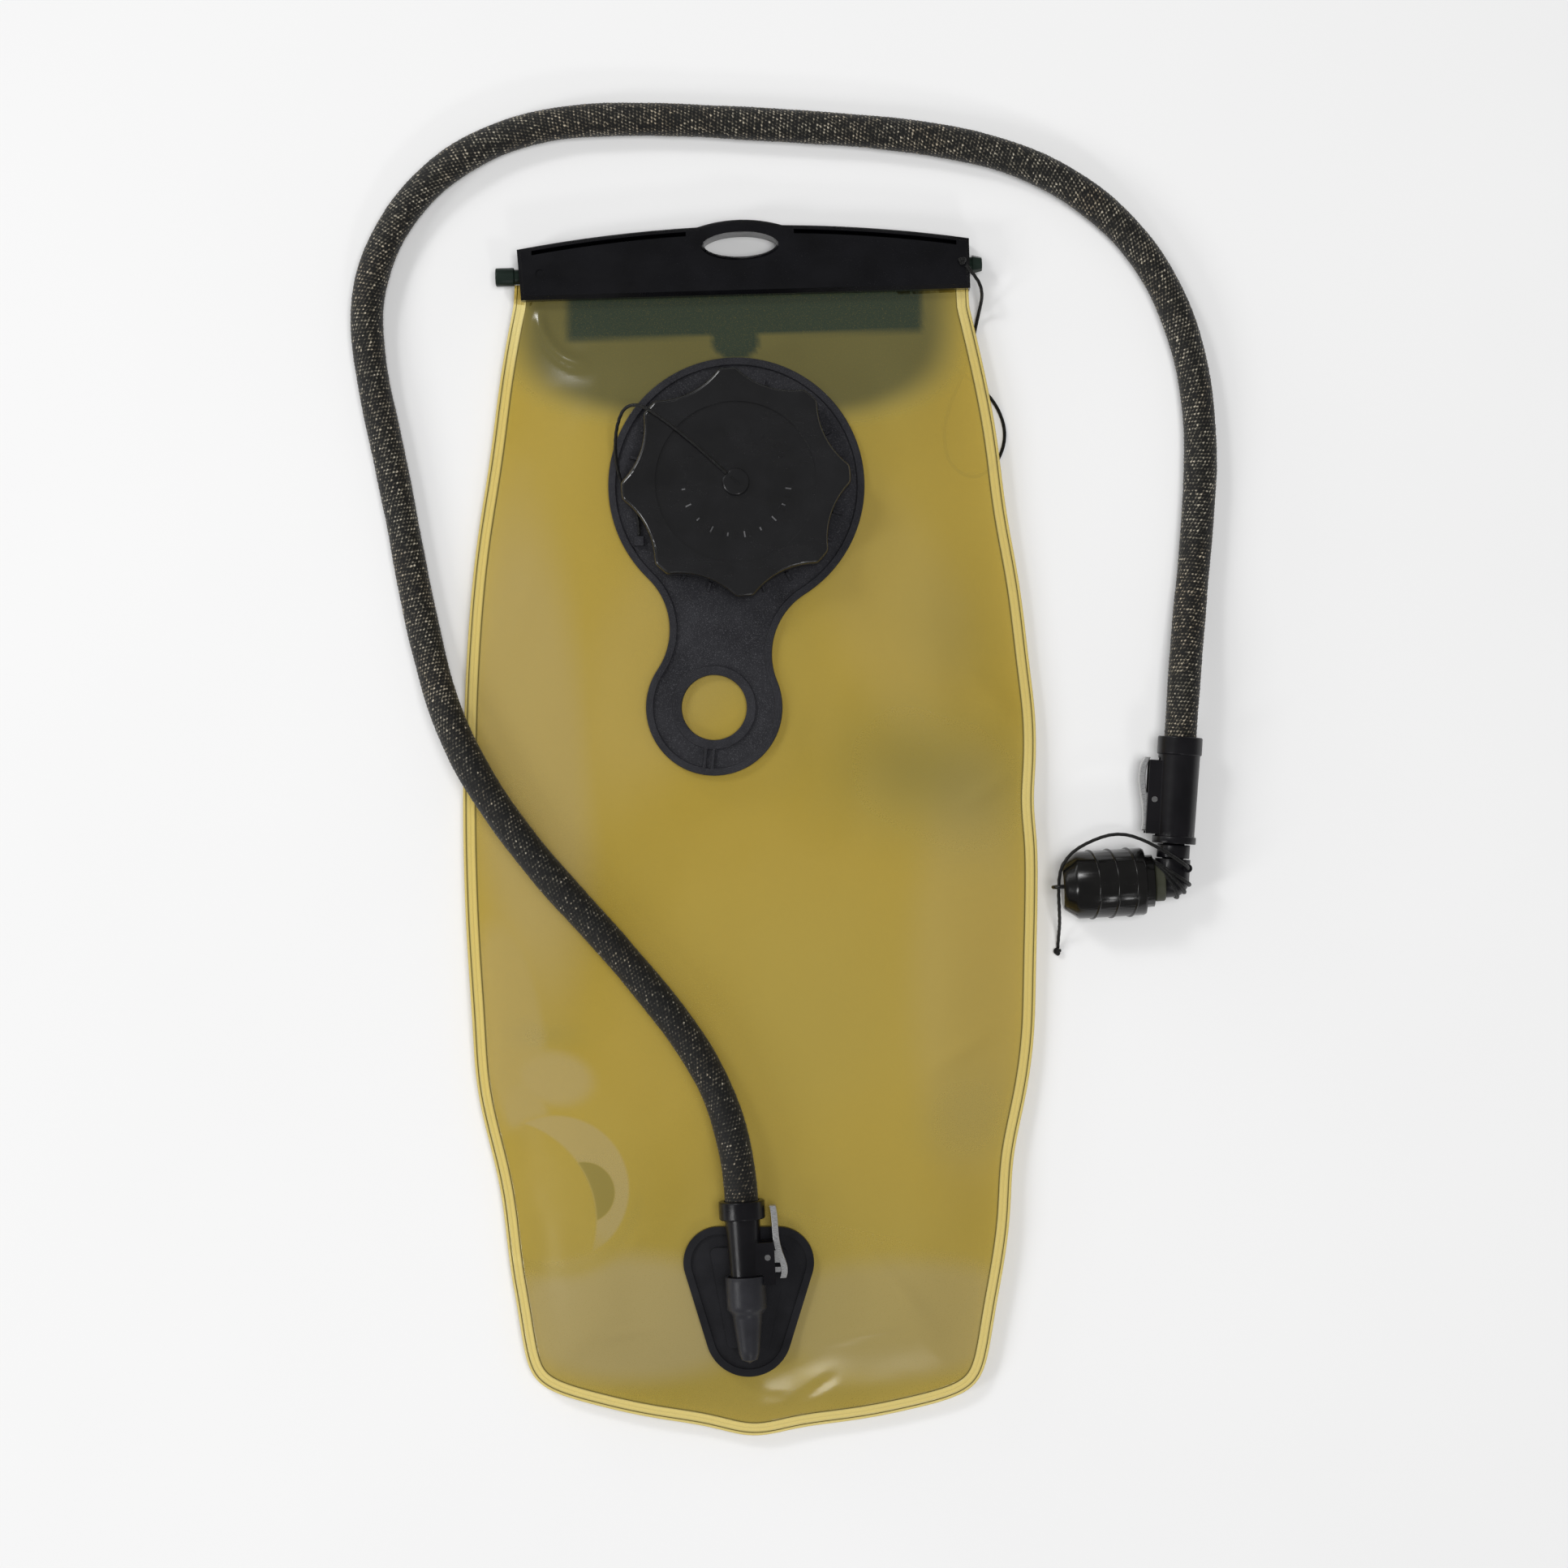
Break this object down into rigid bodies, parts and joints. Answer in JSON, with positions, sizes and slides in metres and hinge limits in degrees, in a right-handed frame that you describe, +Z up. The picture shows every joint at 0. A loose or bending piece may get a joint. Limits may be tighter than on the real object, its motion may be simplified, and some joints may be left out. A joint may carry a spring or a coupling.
{
  "type": "hydration bladder",
  "caption": "Flat film water reservoir with a slide closure, a screw-cap fill port, and a sleeved drinking hose with a shielded bite valve.",
  "frame": {"origin": "under the middle of the reservoir, on the surface it lies on", "axes": "+Z up out of the surface, +Y along the reservoir towards its closure, +X to the right seen from above"},
  "size_m": [0.3549, 0.5443, 0.0412],
  "materials": {
    "film": "translucent olive-yellow polyurethane film, glossy",
    "rod_plastic": "dark green, semi-gloss",
    "closure_plastic": "black, satin, finely grained",
    "port_plastic": "charcoal, finely speckled",
    "cap_plastic": "black, glossy",
    "seal_rubber": "black",
    "boot_rubber": "mid-dark grey, satin",
    "connector_plastic": "black, satin to glossy",
    "steel": "bright steel, softly brushed",
    "tube_rubber": "smooth dark tube",
    "sleeve_fabric": "braided dark olive-grey with tan flecks",
    "valve_ring_plastic": "olive-grey",
    "bite_rubber": "soft grey, matte",
    "shield_rubber": "black, semi-gloss, ribbed",
    "cord": "thin black braided cord"
  },
  "bodies": {
    "root": {"front_film": "film", "back_film": "film", "closing_rod": "rod_plastic", "closure_tether": "cord", "tether_anchor": "film", "fill_port": "port_plastic", "outlet_base": "port_plastic", "outlet_nipple": "cap_plastic", "outlet_o_ring": "seal_rubber", "outlet_boot": "boot_rubber"},
    "closure": {"slide_closure": "closure_plastic", "closure_tether_knot": "cord"},
    "cap_swivel": {"cap_button": "cap_plastic", "cap_button_clip": "cap_plastic", "cap_tether": "cord"},
    "cap": {"screw_cap": "cap_plastic", "cap_seal": "seal_rubber"},
    "hose": {"port_connector": "connector_plastic", "port_hose_collar": "connector_plastic", "port_lever_pin": "steel", "hose_tube": "tube_rubber", "hose_sleeve": "sleeve_fabric", "valve_connector": "connector_plastic", "valve_hose_collar": "connector_plastic", "valve_lever_pin": "steel"},
    "port_lever": {"port_lever": "steel"},
    "valve_lever": {"valve_lever": "steel"},
    "nipple": {"valve_nipple": "connector_plastic", "valve_o_ring": "seal_rubber"},
    "elbow": {"valve_elbow": "connector_plastic", "valve_ring": "valve_ring_plastic", "shield_tether": "cord"},
    "mouthpiece": {"bite_mouthpiece": "bite_rubber"},
    "shield": {"valve_shield": "shield_rubber", "shield_tether_tail": "cord", "shield_tether_knot": "cord"}
  },
  "joints": [
    {"name": "closure_slide", "type": "slide", "parent": "root", "child": "closure", "axis": [-0.9996, -0.0279, 0], "range_m": [0, 0.044]},
    {"name": "cap_lift", "type": "slide", "parent": "root", "child": "cap_swivel", "axis": [0, 0, 1], "range_m": [0, 0.0075]},
    {"name": "cap_turn", "type": "hinge", "parent": "cap_swivel", "child": "cap", "pos_m": [-0.0055, 0.1388, 0.03], "axis": [0, 0, 1], "range_deg": [0, 450]},
    {"name": "hose_pull", "type": "slide", "parent": "root", "child": "hose", "axis": [-0.0523, 0.9986, 0], "range_m": [0, 0.024]},
    {"name": "port_lever_press", "type": "hinge", "parent": "hose", "child": "port_lever", "pos_m": [0.00724, -0.17248, 0.028], "axis": [0, 0, 1], "range_deg": [0, 5], "stiffness_Nm_per_rad": 0.02},
    {"name": "valve_lever_press", "type": "hinge", "parent": "hose", "child": "valve_lever", "pos_m": [0.16415, 0.01164, 0.014], "axis": [0, 0, -1], "range_deg": [0, 5], "stiffness_Nm_per_rad": 0.02},
    {"name": "valve_pull", "type": "slide", "parent": "hose", "child": "nipple", "axis": [-0.0628, -0.998, 0], "range_m": [0, 0.028]},
    {"name": "elbow_swivel", "type": "hinge", "parent": "nipple", "child": "elbow", "pos_m": [0.17151, -0.02109, 0.014], "axis": [-0.0628, -0.998, 0], "continuous": true},
    {"name": "mouth_twist", "type": "hinge", "parent": "elbow", "child": "mouthpiece", "pos_m": [0.15155, -0.02231, 0.014], "axis": [-0.9981, -0.061, 0], "range_deg": [0, 90]},
    {"name": "shield_pull", "type": "slide", "parent": "elbow", "child": "shield", "axis": [-0.9981, -0.061, 0], "range_m": [0, 0.006]}
  ],
  "couplings": [
    {"joint": "cap_lift", "follows": "cap_turn", "m_per_rad": 0.00095493}
  ]
}
